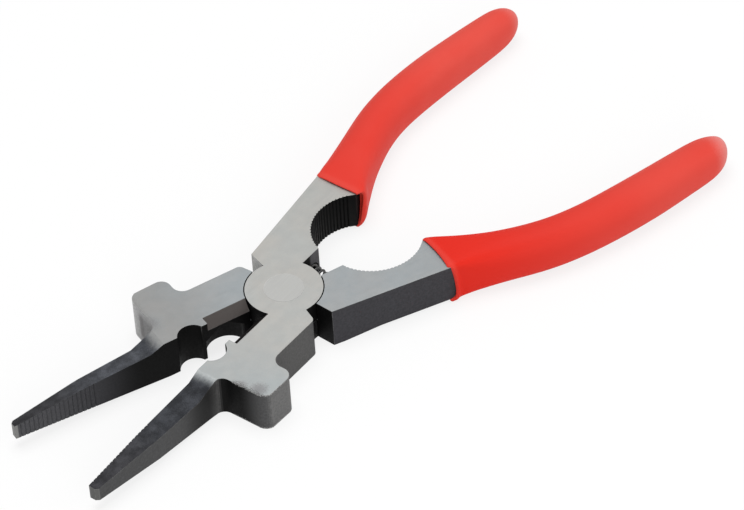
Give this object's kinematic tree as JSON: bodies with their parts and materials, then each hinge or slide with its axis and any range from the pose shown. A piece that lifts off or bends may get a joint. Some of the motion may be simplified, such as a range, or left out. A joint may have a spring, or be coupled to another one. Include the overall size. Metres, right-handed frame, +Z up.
{
  "type": "welding pliers",
  "caption": "Long-nosed welding pliers with hammer heads, a wire cutter, tip grips, a serrated nozzle arc, a return spring and dipped grips.",
  "frame": {"origin": "on the rivet's axis, level with the underside of the joint", "axes": "+Z up along the rivet's axis; +X towards the handles, midway between them; the jaws point to -X"},
  "size_m": [0.1931, 0.085, 0.0127],
  "materials": {
    "ground_steel": "ground faces, black oxide sides and noses",
    "rivet_steel": "ground flush",
    "spring_steel": "dark wire",
    "grip_vinyl": "dipped vinyl, satin"
  },
  "bodies": {
    "upper_half": {"upper_lever": "ground_steel", "pivot_rivet": "rivet_steel", "return_spring": "spring_steel", "upper_grip": "grip_vinyl"},
    "lower_half": {"lower_lever": "ground_steel", "lower_grip": "grip_vinyl"}
  },
  "joints": [
    {"name": "jaw_pivot", "type": "hinge", "parent": "upper_half", "child": "lower_half", "pos_m": [0, 0, 0.0057], "axis": [0, 0, -1], "range_deg": [-20.8, 17.5], "stiffness_Nm_per_rad": 0.1, "deforming": ["return_spring"]}
  ]
}
